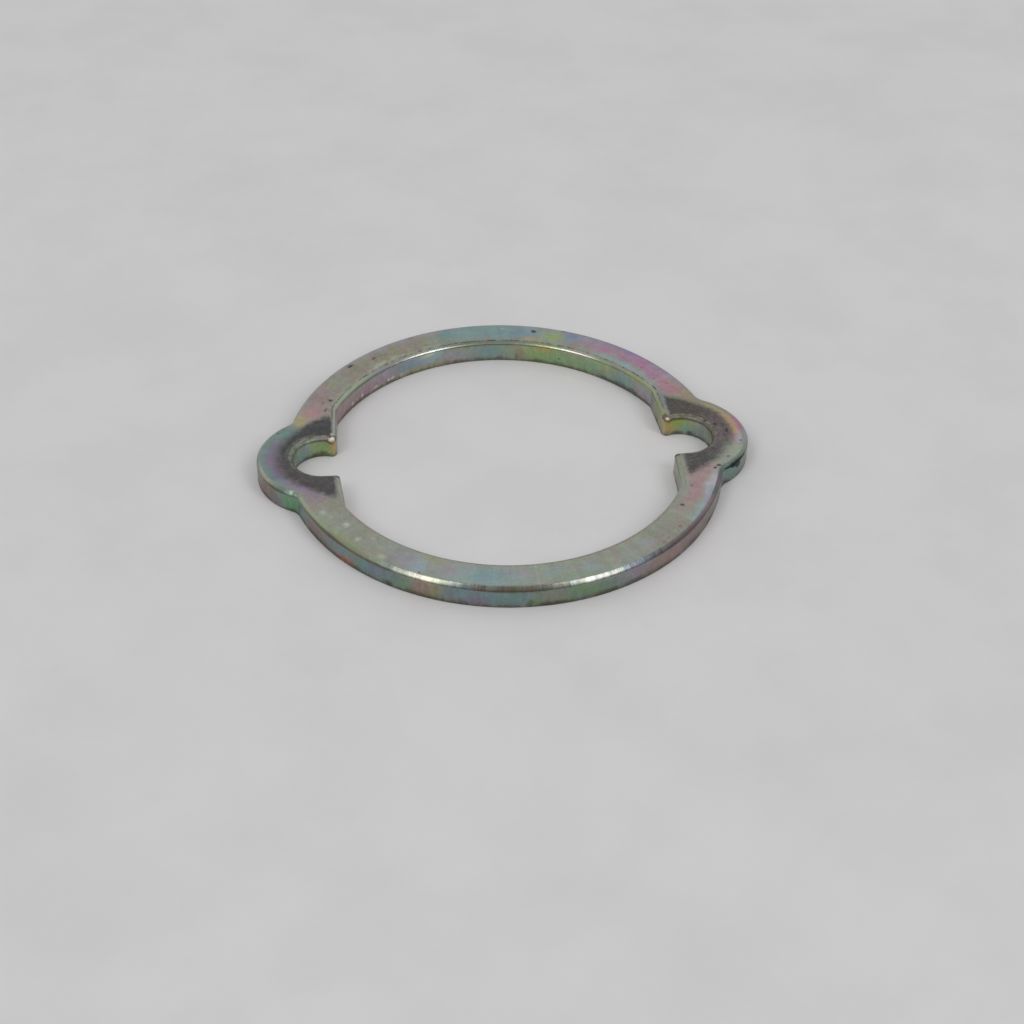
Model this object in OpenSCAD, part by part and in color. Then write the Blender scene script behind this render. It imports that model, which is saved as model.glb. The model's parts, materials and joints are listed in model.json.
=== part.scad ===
// Two-lobed ring washer, stamped from flat steel sheet.
//
// A thin ring carries two opposite round lobes. Each lobe has a bolt notch
// that opens into the central hole, and short flats flank each notch mouth.
// The punch leaves rolled upper edges; the lower edges keep a small bevel.
// Z = 0 is the underside. X runs through both lobes. Sizes are in millimetres.

/* [Ring] */
// Outside diameter of the ring
ring_d = 48; // [40:0.5:60]
// Width of the metal between the ring's outside and the central hole
rim_w = 4; // [3:0.1:6]
// Thickness of the sheet
sheet_t = 2.6; // [1.5:0.1:4]

/* [Notches] */
// Diameter of a bolt notch, which is centred on the edge of the central hole
notch_d = 6.4; // [5.4:0.1:8]
// Radius of the two corners of a notch mouth
mouth_r = 0.6; // [0.3:0.05:1]
// How far the flats beside a mouth stand in from the edge of the central hole
flat_in = 1.5; // [1:0.05:2]
// Lean of the flats away from square, in degrees
flat_lean = 3.4; // [0:0.2:6]

/* [Lobes] */
// Width of the metal round a notch
lobe_w = 4; // [3:0.1:6]
// Concave radius where a lobe meets the ring
waist_r = 2; // [1:0.1:3]

/* [Edges] */
// Radius of the rolled upper edges
roll_r = 0.45; // [0.2:0.05:0.7]
// Width of the bevel on the lower edges
bevel_w = 0.08; // [0.05:0.01:0.3]

/* [View] */
// Which piece to draw

/* [Hidden] */
$fn = 96;

// Cutters run past both faces by this much
slack = 1;
ring_r = ring_d / 2;
hole_r = ring_r - rim_w;
notch_r = notch_d / 2;
lobe_r = notch_r + lobe_w;

// Centre of the concave arc that touches the ring and a lobe
waist_x = (pow(ring_r + waist_r, 2) - pow(lobe_r + waist_r, 2) + pow(hole_r, 2)) / (2 * hole_r);
waist_y = sqrt(pow(ring_r + waist_r, 2) - pow(waist_x, 2));

// Distance from the washer's axis to each flat, measured square to the flat
flat_d = hole_r - flat_in;

// Direction, from a notch's centre, of the arc that joins it to a flat
mouth_in = flat_d + mouth_r - hole_r * cos(flat_lean);
mouth_turn = flat_lean + acos(mouth_in / (notch_r + mouth_r));

washer();

module washer() {
    color("#8f9a78")
    difference() {
        notched_blank();
        at_lobes() both_ways([0, 1, 0]) mouth_corner();
    }
}

// The blank with its hole and notches, whose mouths still have sharp corners
module notched_blank() {
    difference() {
        pierced_blank();
        at_lobes() bore(notch_r);
    }
}

module pierced_blank() {
    difference() {
        blank();
        hole();
    }
}

// The ring and its lobes before anything is punched out
module blank() {
    disc(ring_r);
    at_lobes() disc(lobe_r);
    both_ways([1, 0, 0]) both_ways([0, 1, 0]) waist();
}

// Concave fill between the ring and a lobe
module waist() {
    difference() {
        linear_extrude(sheet_t)
            polygon([[0, 0], [hole_r, 0], [waist_x, waist_y]]);
        translate([waist_x, waist_y, 0]) bore(waist_r);
    }
}

// Cutter for the central hole, which stops at the four flats
module hole() {
    intersection() {
        bore(hole_r);
        rotate([0, 0, flat_lean]) trough();
        rotate([0, 0, -flat_lean]) trough();
    }
}

// Cutter that rounds the corner between a notch and a flat, drawn from the notch's axis
module mouth_corner() {
    flat_way = 180 + flat_lean - mouth_turn;
    rotate([0, 0, mouth_turn]) translate([notch_r + mouth_r, 0, -slack]) difference() {
        linear_extrude(sheet_t + 2 * slack)
            polygon([[0, 0], notch_r * [cos(flat_way), sin(flat_way)], [-notch_r, 0]]);
        translate([0, 0, -slack]) cylinder(h = sheet_t + 4 * slack, r = mouth_r);
    }
}

// Solid disc with the washer's edges
module disc(r) {
    rotate_extrude() difference() {
        square([r, sheet_t]);
        translate([r, 0]) edge_cut();
    }
}

// Cutter for a round hole with the washer's edges
module bore(r) {
    rotate_extrude() {
        translate([0, -slack]) square([r, sheet_t + 2 * slack]);
        translate([r, 0]) mirror([1, 0]) edge_cut();
    }
}

// Cutter between two parallel walls with the washer's edges
module trough() {
    rotate([90, 0, 0]) linear_extrude(ring_d, center = true) {
        translate([-flat_d, -slack]) square([2 * flat_d, sheet_t + 2 * slack]);
        both_ways([1, 0]) translate([flat_d, 0]) mirror([1, 0]) edge_cut();
    }
}

// What the rolled edge and the bevel take off a wall that stands at x = 0
module edge_cut() {
    translate([-roll_r, sheet_t - roll_r]) difference() {
        square(roll_r + slack);
        circle(roll_r, $fn = 24);
    }
    polygon([[-bevel_w, 0], [-bevel_w, -slack], [slack, -slack], [slack, bevel_w], [0, bevel_w]]);
}

module at_lobes() {
    both_ways([1, 0, 0]) translate([hole_r, 0, 0]) children();
}

module both_ways(way) {
    children();
    mirror(way) children();
}
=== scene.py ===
"""The looks of a stamped ring washer with two notched lobes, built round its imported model.

The washer lies flat on z = 0 with its two lobes along X, and the camera looks along +Y, down on it. Camera
and lights are placed in metres. The washer is drawn in millimetres and brought to metres at its end.
"""

import json
import math

import bpy
from mathutils import Matrix, Quaternion, Vector


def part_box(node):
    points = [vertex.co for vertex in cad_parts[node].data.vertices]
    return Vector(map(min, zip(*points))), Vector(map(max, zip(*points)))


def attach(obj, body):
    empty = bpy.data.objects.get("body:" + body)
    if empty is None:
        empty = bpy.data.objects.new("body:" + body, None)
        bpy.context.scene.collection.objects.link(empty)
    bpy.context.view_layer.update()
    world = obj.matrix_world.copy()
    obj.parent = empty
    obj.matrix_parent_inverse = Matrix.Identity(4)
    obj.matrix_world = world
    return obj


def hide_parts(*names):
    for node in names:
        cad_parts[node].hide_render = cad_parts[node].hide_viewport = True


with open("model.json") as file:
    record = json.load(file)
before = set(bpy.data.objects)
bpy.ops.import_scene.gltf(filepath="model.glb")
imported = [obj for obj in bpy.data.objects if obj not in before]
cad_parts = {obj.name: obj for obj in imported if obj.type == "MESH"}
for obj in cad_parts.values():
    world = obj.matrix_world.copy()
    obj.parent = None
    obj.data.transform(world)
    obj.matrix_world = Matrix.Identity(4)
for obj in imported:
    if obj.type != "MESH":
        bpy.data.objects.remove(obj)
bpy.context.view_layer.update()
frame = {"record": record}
scene = bpy.context.scene
scene.view_settings.view_transform = "Standard"

# ---------------------------------------------------------------------------------------------------------
# Camera
# A short telephoto lens, held about 200 mm from the washer and looking down on it at 39 degrees, a little
# from the left. The horizon is tipped by a degree and a half.
camera_azimuth = -8.24
camera_elevation = 39.1
camera_reach = 0.20393
camera_tip = 1.425
sensor_width = 36
focal_length = 66.78
aim = Vector((-0.00029, -0.00863, 0))

lens = bpy.data.cameras.new("camera")
lens.sensor_width = sensor_width
lens.lens = focal_length
lens.clip_start = 0.01
lens.clip_end = 20
camera = bpy.data.objects.new("camera", lens)
scene.collection.objects.link(camera)
turn = math.radians(camera_azimuth - 90)
lift = math.radians(camera_elevation)
towards_camera = Vector((math.cos(lift) * math.cos(turn), math.cos(lift) * math.sin(turn), math.sin(lift)))
camera.location = aim + camera_reach * towards_camera
tipped = Quaternion((0, 0, 1), math.radians(camera_tip))
camera.rotation_mode = "QUATERNION"
camera.rotation_quaternion = towards_camera.to_track_quat("Z", "Y") @ tipped
scene.camera = camera


# ---------------------------------------------------------------------------------------------------------
# Studio
# A pale sheet of card under the washer, a dim room round it, and two softboxes over its left and right:
# they give the rolled edges their two short bright stretches and the washer its soft double shadow.
class Wire:
    """One output of a node. Arithmetic on it adds Math nodes to its tree, so a sum reads as a sum."""

    def __init__(self, socket):
        self.socket = socket

    def math(self, operation, *values):
        return Sheet(self.socket.id_data).node(
            "ShaderNodeMath", {"operation": operation}, dict(enumerate(values))
        )

    def __add__(self, other):
        return self.math("ADD", self, other)

    def __radd__(self, other):
        return self.math("ADD", other, self)

    def __sub__(self, other):
        return self.math("SUBTRACT", self, other)

    def __rsub__(self, other):
        return self.math("SUBTRACT", other, self)

    def __mul__(self, other):
        return self.math("MULTIPLY", self, other)

    def __rmul__(self, other):
        return self.math("MULTIPLY", other, self)

    def __truediv__(self, other):
        return self.math("DIVIDE", self, other)


class Sheet:
    """A node tree that is being drawn."""

    def __init__(self, tree):
        self.tree = tree

    def node(self, kind, settings=None, sockets=None, output=0):
        """Adds one node: first its settings, then the values or wires of its sockets. Gives one output."""
        made = self.tree.nodes.new(kind)
        for name, value in (settings or {}).items():
            if name == "stops":
                set_stops(made.color_ramp, value)
            else:
                setattr(made, name, value)
        for key, value in (sockets or {}).items():
            if isinstance(value, Wire):
                self.tree.links.new(value.socket, made.inputs[key])
            elif isinstance(value, list):
                for wire in value:
                    self.tree.links.new(wire.socket, made.inputs[key])
            else:
                made.inputs[key].default_value = value
        return Wire(made.outputs[output]) if len(made.outputs) else made

    def vector(self, x, y, z):
        return self.node("ShaderNodeCombineXYZ", sockets={0: x, 1: y, 2: z})

    def axes(self, vector):
        split = self.tree.nodes.new("ShaderNodeSeparateXYZ")
        self.tree.links.new(vector.socket, split.inputs[0])
        return [Wire(output) for output in split.outputs]

    def along(self, operation, *vectors, output=0):
        """A Vector Math node."""
        return self.node("ShaderNodeVectorMath", {"operation": operation}, dict(enumerate(vectors)), output)

    def ease(self, value, start, end, low=0.0, high=1.0):
        """low before start, high after end, and a soft step between them."""
        settings = {"interpolation_type": "SMOOTHSTEP"}
        return self.node("ShaderNodeMapRange", settings, {0: value, 1: start, 2: end, 3: low, 4: high})

    def blend(self, factor, first, second):
        """A colour that goes from first to second."""
        sockets = {0: factor, 6: first, 7: second}
        return self.node("ShaderNodeMix", {"data_type": "RGBA"}, sockets, output=2)

    def between(self, share, first, second):
        """A place that goes from first to second."""
        return self.node("ShaderNodeMix", {"data_type": "VECTOR"}, {0: share, 4: first, 5: second}, output=1)

    def scaled(self, vector, factor):
        """A colour made darker or lighter, or a step made longer or shorter."""
        return self.node("ShaderNodeVectorMath", {"operation": "SCALE"}, {0: vector, "Scale": factor})

    def ramp(self, value, stops):
        """The colour that these (place, colour) stops give a value."""
        return self.node("ShaderNodeValToRGB", {"stops": stops}, {0: value})

    def noise(self, place, scale, detail=2.0, roughness=0.5, output=0):
        sockets = {"Vector": place, "Scale": scale, "Detail": detail, "Roughness": roughness}
        return self.node("ShaderNodeTexNoise", sockets=sockets, output=output)


def set_stops(ramp, stops):
    """Gives a colour ramp these (place, colour) stops."""
    while len(ramp.elements) > 1:
        ramp.elements.remove(ramp.elements[-1])
    for index, (place, colour) in enumerate(stops):
        stop = ramp.elements[0] if index == 0 else ramp.elements.new(place)
        stop.position = place
        stop.color = (*colour, 1)


def new_material(name):
    """A material with an empty tree and one Principled shader, and that shader's node."""
    material = bpy.data.materials.new(name)
    material.use_nodes = True
    tree = material.node_tree
    tree.nodes.clear()
    end = tree.nodes.new("ShaderNodeOutputMaterial")
    shader = tree.nodes.new("ShaderNodeBsdfPrincipled")
    tree.links.new(shader.outputs[0], end.inputs["Surface"])
    return material, Sheet(tree), shader


def feed(sheet, shader, sockets):
    """Gives sockets of a shader their values or wires."""
    for name, value in sockets.items():
        if isinstance(value, Wire):
            sheet.tree.links.new(value.socket, shader.inputs[name])
        else:
            shader.inputs[name].default_value = value


card_colour = (0.79, 0.78, 0.775)
card_shade = [0.95 * part for part in card_colour]
card_side = 4.0
card_mesh = bpy.data.meshes.new("card")
card_signs = ((-1, -1), (1, -1), (1, 1), (-1, 1))
card_corners = [(x * card_side / 2, y * card_side / 2, 0) for x, y in card_signs]
card_mesh.from_pydata(card_corners, [], [(0, 1, 2, 3)])
card = bpy.data.objects.new("card", card_mesh)
scene.collection.objects.link(card)
card_finish, sheet, shader = new_material("pale_card")
where = sheet.node("ShaderNodeTexCoord", output="Object")
mottle = sheet.noise(where, 55, 4, 0.6)
feed(sheet, shader, {
    "Base Color": sheet.blend(sheet.ease(mottle, 0.35, 0.7), (*card_colour, 1), (*card_shade, 1)),
    "Roughness": 0.85,
    "Specular IOR Level": 0.2,
})
card_mesh.materials.append(card_finish)

room = bpy.data.worlds.new("room")
scene.world = room
room.use_nodes = True
room.node_tree.nodes.clear()
sheet = Sheet(room.node_tree)
way = sheet.node("ShaderNodeTexCoord", output="Generated")
way_y, way_z = sheet.axes(way)[1:]
behind = sheet.ease(way_y, -0.75, 0.55)
above = sheet.ease(way_z, 0.05, 0.75)
glow = sheet.blend(behind, (0.11, 0.11, 0.115, 1), (0.62, 0.62, 0.63, 1))
glow = sheet.blend(above * (1 - behind), glow, (0.60, 0.60, 0.61, 1))
light = sheet.node("ShaderNodeBackground", sockets={"Color": glow, "Strength": 1.0})
sheet.node("ShaderNodeOutputWorld", sockets={"Surface": light})


def hang_softbox(name, direction, reach, width, height, power):
    """A rectangular lamp that hangs in this direction from the washer and faces it."""
    lamp = bpy.data.lights.new(name, "AREA")
    lamp.shape = "RECTANGLE"
    lamp.size = width
    lamp.size_y = height
    lamp.energy = power
    box = bpy.data.objects.new(name, lamp)
    scene.collection.objects.link(box)
    direction = Vector(direction).normalized()
    box.location = direction * reach
    box.rotation_mode = "QUATERNION"
    box.rotation_quaternion = direction.to_track_quat("Z", "Y")


hang_softbox("softbox_right", (0.51, -0.50, 0.70), 1.2, 0.36, 0.60, 2.3)
hang_softbox("softbox_left", (-0.53, -0.43, 0.73), 1.2, 0.40, 0.60, 2.2)

# ---------------------------------------------------------------------------------------------------------
# Washer
# One ring of steel sheet, blanked in a press: the die rolled its top edges over and left the lower ones
# sharp. Two lobes stand out from it, each with a notch for a bolt that is open to the central hole.
mm = 0.001
low, high = (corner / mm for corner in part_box("washer"))
notch = next(m for m in frame["record"]["mounts"] if m["name"] == "notch_right")
ring_radius = high.y
rim_width = 4.0
sheet_thickness = high.z
notch_place = notch["pos_m"][0] / mm
notch_radius = notch["dims"]["r_mm"]
lobe_radius = high.x - notch_place
waist_radius = 2.0
mouth_radius = 0.6
hole_radius = ring_radius - rim_width
flat_distance = hole_radius - 1.5
flat_lean = math.radians(3.4)
flat_end_radius = 1.0
front_roll = 0.5
back_roll = 0.36
tip_roll = 0.43
inner_roll = 0.42
edge_bevel = 0.08

# The two waist arcs and the mouth corners touch their neighbours, which gives their centres and turns.
waist_to_middle = ring_radius + waist_radius
waist_to_lobe = lobe_radius + waist_radius
waist_x = (waist_to_middle**2 - waist_to_lobe**2 + notch_place**2) / (2 * notch_place)
waist = Vector((waist_x, math.sqrt(waist_to_middle**2 - waist_x**2)))
lobe = Vector((notch_place, 0))
middle = Vector((0, 0))
lean = Matrix.Rotation(flat_lean, 2)
mouth_out = flat_distance + mouth_radius
mouth_to_notch = notch_radius + mouth_radius
notch_leaning = lean.inverted() @ lobe
mouth_up = notch_leaning.y + math.sqrt(mouth_to_notch**2 - (notch_leaning.x - mouth_out) ** 2)
mouth = lean @ Vector((mouth_out, mouth_up))
bend_out = flat_distance - flat_end_radius
bend_up = math.sqrt((hole_radius - flat_end_radius) ** 2 - bend_out**2)
bend = lean @ Vector((bend_out, bend_up))
flat_end = bend + lean @ Vector((flat_end_radius + mouth_radius, 0))


def turn_of(start, end):
    """The direction from one point to another, as an angle."""
    return math.atan2(end.y - start.y, end.x - start.x)


right_angle = math.pi / 2
turn_waist_lobe = turn_of(lobe, waist)
turn_waist_ring = turn_of(middle, waist)
turn_mouth = turn_of(lobe, mouth)
turn_bend = turn_of(middle, bend)
turn_flat = flat_lean + math.pi
ring_after_flat = math.radians(24)
ring_after_bend = turn_bend + 0.03

# One quarter of the plan, from the tip of a lobe round to the middle of the ring. Each stretch has an outer
# and an inner edge: centre at its start and end, radius, turn at its start and end, and 1 where the metal is
# inside the arc or -1 where it is outside.
quarter = [
    (46, (lobe, lobe, lobe_radius, 0, turn_waist_lobe, 1), (lobe, lobe, notch_radius, 0, turn_mouth, -1)),
    (
        16,
        (waist, waist, waist_radius, turn_waist_lobe + math.pi, turn_waist_ring + math.pi, -1),
        (mouth, mouth, mouth_radius, turn_mouth + math.pi, turn_flat, 1),
    ),
    (
        24,
        (middle, middle, ring_radius, turn_waist_ring, ring_after_flat, 1),
        (mouth, flat_end, mouth_radius, turn_flat, turn_flat, 1),
    ),
    (
        6,
        (middle, middle, ring_radius, ring_after_flat, ring_after_bend, 1),
        (bend, bend, flat_end_radius, flat_lean, turn_bend, -1),
    ),
    (
        148,
        (middle, middle, ring_radius, ring_after_bend, right_angle, 1),
        (middle, middle, hole_radius, turn_bend, right_angle, -1),
    ),
]

# The section, as counts of faces: over the top, down the outside, under the bottom and up the inside.
section = [
    ("top", 26),
    ("outer roll", 8),
    ("outer wall", 13),
    ("outer bevel", 2),
    ("bottom", 8),
    ("inner bevel", 2),
    ("inner wall", 13),
    ("inner roll", 8),
]


# The plating is yellow chromate over zinc: a clear film whose thickness wanders, so that its colour runs
# from straw through rose, violet, blue and green. These are its colours on the face, from thin to thick.
khaki = (0.36, 0.34, 0.27)
straw = (0.50, 0.42, 0.21)
gold = (0.58, 0.42, 0.17)
copper = (0.60, 0.33, 0.24)
rose = (0.56, 0.27, 0.46)
pink = (0.58, 0.33, 0.37)
mauve = (0.43, 0.32, 0.34)
violet = (0.38, 0.27, 0.48)
lilac = (0.42, 0.39, 0.46)
blue = (0.27, 0.36, 0.48)
pale_blue = (0.40, 0.52, 0.56)
teal = (0.24, 0.40, 0.40)
green = (0.28, 0.46, 0.28)
lime = (0.38, 0.52, 0.20)
sage = (0.40, 0.44, 0.36)
brown = (0.30, 0.22, 0.16)
painted_pearl_sheen = (0.60, 0.60, 0.64)
deep_teal = (0.19, 0.31, 0.29)
moss = (0.44, 0.46, 0.30)
pale_moss = (0.62, 0.67, 0.48)
olive = (0.13, 0.14, 0.06)
umber = (0.16, 0.13, 0.07)
# The palest two here, the glare and the cream, serve only painted highlights.
painted_glare = (0.95, 0.94, 0.88)
soot = (0.052, 0.048, 0.050)
charcoal = (0.085, 0.078, 0.080)
black = (0.012, 0.012, 0.013)
painted_cream_highlight = (0.80, 0.80, 0.66)
middle_radius = ring_radius - rim_width / 2


def drifted(sheet, place, scale, amount):
    """The place, moved about by noise, so that what is drawn there has an uneven outline."""
    drift = sheet.along("SUBTRACT", sheet.noise(place, scale, 2, 0.6, output=1), (0.5, 0.5, 0.5))
    return sheet.along("MULTIPLY_ADD", drift, (amount, amount, amount * 0.5), place)


def ring_places(sheet, place):
    """Where a place is on the ring: its direction on the middle circle, with its radius or its height."""
    x, y, z = sheet.axes(place)
    flat = sheet.vector(x, y, 0.0)
    radius = sheet.along("LENGTH", flat, output=1)
    circle_x, circle_y = (part * middle_radius for part in sheet.axes(sheet.along("NORMALIZE", flat))[:2])
    return sheet.vector(circle_x, circle_y, radius), sheet.vector(circle_x, circle_y, z)


def notch_places(sheet, place):
    """Where a place is beside its notch: outward, up, distance and turn from its centre, and which notch."""
    x, y, z = sheet.axes(place)
    side_x = x.math("ABSOLUTE", x) - notch_place
    from_notch = sheet.along("LENGTH", sheet.vector(side_x, y, 0.0), output=1)
    return side_x, y, from_notch, y.math("ARCTAN2", y, side_x), sheet.ease(x, -1.0, 1.0)


def oval(sheet, place, centre, reach, strength=1.0, core=0.0):
    """A soft oval round centre, at full strength out to core, a part of its reach, and gone at its reach."""
    away = sheet.along("SUBTRACT", place, centre)
    away = sheet.along("MULTIPLY", away, tuple(1 / r for r in reach))
    return sheet.ease(sheet.along("LENGTH", away, output=1), core, 1.0, strength, 0.0)


def on_ring(degrees, level, half_degrees, half_width):
    """The centre and the reach of an oval on the ring. level is its radius or its height."""
    angle = math.radians(degrees)
    half_length = middle_radius * math.radians(half_degrees)
    centre = (middle_radius * math.cos(angle), middle_radius * math.sin(angle), level)
    return centre, (half_length, half_length, half_width)


def ring_zones(sheet, under, place, zones, core=0.0):
    """Lays colours on one: (degrees round, radius or height, half degrees, half width, colour, strength)."""
    for *spot, colour, strength in zones:
        under = sheet.blend(oval(sheet, place, *on_ring(*spot), strength, core), under, (*colour, 1))
    return under


def block_zones(sheet, under, place, zones, core=0.0):
    """The same by places in the part's own axes: (x, y, z, half length, half width, half height, ...)."""
    for x, y, z, *reach, colour, strength in zones:
        under = sheet.blend(oval(sheet, place, (x, y, z), reach, strength, core), under, (*colour, 1))
    return under


def add_inputs(tree, kind, values):
    """Named inputs of a node group, with their usual values."""
    for name, value in values.items():
        tree.interface.new_socket(name=name, in_out="INPUT", socket_type=kind).default_value = value


strip_tree = bpy.data.node_groups.new("edge_strip", "GeometryNodeTree")
add_inputs(strip_tree, "NodeSocketInt", {"Stations": 8})
edge_inputs = {
    "Thickness": sheet_thickness,
    "Inner roll": inner_roll,
    "Inner spread": 1.45,
    "Edge bevel": edge_bevel,
    "Outer slope": 0.75,
    "Inner slope": 0.2,
}
add_inputs(strip_tree, "NodeSocketFloat", edge_inputs)
add_inputs(strip_tree, "NodeSocketFloat", {"Outer roll": front_roll, "Outer roll end": front_roll})
for edge in ("Outer", "Inner"):
    add_inputs(strip_tree, "NodeSocketVector", {f"{edge} centre": (0, 0, 0), f"{edge} end centre": (0, 0, 0)})
    words = ("radius", "turn", "end turn", "side")
    add_inputs(strip_tree, "NodeSocketFloat", {f"{edge} {word}": 0 for word in words})
strip_tree.interface.new_socket(name="Strip", in_out="OUTPUT", socket_type="NodeSocketGeometry")
sheet = Sheet(strip_tree)
given = strip_tree.nodes.new("NodeGroupInput")
want = {socket.name: Wire(socket) for socket in given.outputs if socket.name}
rows = sum(count for name, count in section)
grid = sheet.node("GeometryNodeMeshGrid", sockets={0: 1.0, 1: 1.0, 2: want["Stations"], 3: rows + 1})
spot_x, spot_y, spot_z = sheet.axes(sheet.node("GeometryNodeInputPosition"))
station = spot_x + 0.5
row = (spot_y + 0.5) * rows
done = {}
before = 0
for name, count in section:
    sockets = {0: row, 1: before, 2: before + count, 3: 0, 4: 1}
    done[name] = sheet.node("ShaderNodeMapRange", {"clamp": True}, sockets)
    before += count
bevel, thickness = want["Edge bevel"], want["Thickness"]
outer_size = want["Outer roll"] + station * (want["Outer roll end"] - want["Outer roll"])
inner_size = want["Inner roll"]


def rolled_over(way, flatness):
    """How far a rolled edge has gone sideways and down, for a size of 1: an arc, flattened to a slope."""
    swing = way * right_angle
    sideways = swing.math("SINE", swing) * (1 - flatness) + way * flatness
    return sideways, (1 - swing.math("COSINE", swing)) * (1 - flatness) + way * flatness


outer_out, outer_down = rolled_over(done["outer roll"], want["Outer slope"])
inner_up, inner_in = rolled_over(done["inner roll"], want["Inner slope"])
beveled = done["outer bevel"] - done["inner bevel"]
outer_inset = outer_size * (1 - outer_out)
inner_inset = inner_size * want["Inner spread"] * (1 - done["outer roll"] + inner_in)
height = thickness - outer_size * outer_down + inner_size * inner_up - bevel * beveled
height = height - (thickness - outer_size - bevel) * done["outer wall"]
height = height + (thickness - inner_size - bevel) * done["inner wall"]
across = done["top"] - done["bottom"]
insets = {"Outer": outer_inset, "Inner": inner_inset}
edge_places = {}
for edge in ("Outer", "Inner"):
    angle = want[f"{edge} turn"] + station * (want[f"{edge} end turn"] - want[f"{edge} turn"])
    reach = want[f"{edge} radius"] - want[f"{edge} side"] * (insets[edge] + bevel * beveled)
    centre = sheet.between(station, want[f"{edge} centre"], want[f"{edge} end centre"])
    out = sheet.vector(angle.math("COSINE", angle) * reach, angle.math("SINE", angle) * reach, height)
    edge_places[edge] = sheet.along("ADD", centre, out)
place = sheet.between(across, edge_places["Inner"], edge_places["Outer"])

# Two values stay with each point: across runs from the hole to the outside, and rounding is 0 on the upper
# face, rises over the rolled edges and is 1 everywhere below them.
rounding = done["outer roll"] - done["inner roll"]
strip = grid
for name, value in (("across", across), ("rounding", rounding)):
    strip = sheet.node(
        "GeometryNodeStoreNamedAttribute", {"data_type": "FLOAT", "domain": "POINT"},
        {"Geometry": strip, "Name": name, "Value": value},
    )
strip = sheet.node("GeometryNodeSetPosition", sockets={"Geometry": strip, "Position": place})
sheet.node("NodeGroupOutput", sockets={0: strip})

washer_tree = bpy.data.node_groups.new("stamped_ring", "GeometryNodeTree")
washer_tree.interface.new_socket(name="Geometry", in_out="INPUT", socket_type="NodeSocketGeometry")
washer_inputs = edge_inputs | {
    "Front roll": front_roll,
    "Back roll": back_roll,
    "Tip roll": tip_roll,
    "Scallop depth": 0.008,
    "Wave depth": 0.03,
    "Tear depth": 0.02,
    "Pit depth": 0.04,
    "Corner wear": 0.12,
    "Seed": 4.0,
}
add_inputs(washer_tree, "NodeSocketFloat", washer_inputs)
washer_tree.interface.new_socket(name="Finish", in_out="INPUT", socket_type="NodeSocketMaterial")
washer_tree.interface.new_socket(name="Geometry", in_out="OUTPUT", socket_type="NodeSocketGeometry")
sheet = Sheet(washer_tree)
given = washer_tree.nodes.new("NodeGroupInput")
want = {socket.name: Wire(socket) for socket in given.outputs if socket.name}


def mirrored(sheet, geometry, scale):
    return sheet.node("GeometryNodeTransform", sockets={"Geometry": geometry, "Scale": scale})


def half_ring(sheet, want, roll):
    """The half of the ring with y above 0, whose outer roll has this size away from the tips of the lobes."""
    strips = []
    for stations, outer, inner in quarter:
        sockets = {"Stations": stations + 1, "Outer roll": want[roll], "Outer roll end": want[roll]}
        if not strips:
            sockets["Outer roll"] = want["Tip roll"]
        sockets |= {name: want[name] for name in edge_inputs}
        for edge, (start, end, radius, turn, end_turn, side) in (("Outer", outer), ("Inner", inner)):
            sockets |= {f"{edge} centre": (*start, 0), f"{edge} end centre": (*end, 0)}
            sockets |= {f"{edge} radius": radius, f"{edge} side": side}
            sockets |= {f"{edge} turn": turn, f"{edge} end turn": end_turn}
        strips.append(sheet.node("GeometryNodeGroup", {"node_tree": strip_tree}, sockets))
    right = sheet.node("GeometryNodeJoinGeometry", sockets={0: strips})
    turned = sheet.node("GeometryNodeFlipFaces", sockets={0: right})
    return sheet.node("GeometryNodeJoinGeometry", sockets={0: [turned, mirrored(sheet, right, (-1, 1, 1))]})


back = half_ring(sheet, want, "Back roll")
front = mirrored(sheet, half_ring(sheet, want, "Front roll"), (1, -1, 1))
front = sheet.node("GeometryNodeFlipFaces", sockets={0: front})
ring = sheet.node("GeometryNodeJoinGeometry", sockets={0: [back, front]})
weld_reach = 0.002
ring = sheet.node("GeometryNodeMergeByDistance", sockets={"Geometry": ring, "Distance": weld_reach})

where = sheet.node("GeometryNodeInputPosition")
x, y, z = sheet.axes(where)
normal = sheet.node("GeometryNodeInputNormal")
normal_z = sheet.axes(normal)[2]
across = sheet.node("GeometryNodeInputNamedAttribute", {"data_type": "FLOAT"}, {"Name": "across"})
rounding = sheet.node("GeometryNodeInputNamedAttribute", {"data_type": "FLOAT"}, {"Name": "rounding"})

# The film's colours are laid on the plain ring in soft ovals, before its surface is roughened. Four kinds of
# drift give them wandering, near, calm or ragged outlines.
soft_spot = drifted(sheet, drifted(sheet, where, 0.4, 2.4), 1.6, 0.9)
near_spot = drifted(sheet, where, 1.6, 0.5)
calm_spot = drifted(sheet, where, 0.5, 0.3)
ragged_spot = drifted(sheet, where, 4.5, 0.45)
face_place, wall_place = ring_places(sheet, soft_spot)
face_calm, wall_calm = ring_places(sheet, calm_spot)
wall_ragged = ring_places(sheet, ragged_spot)[1]

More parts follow.
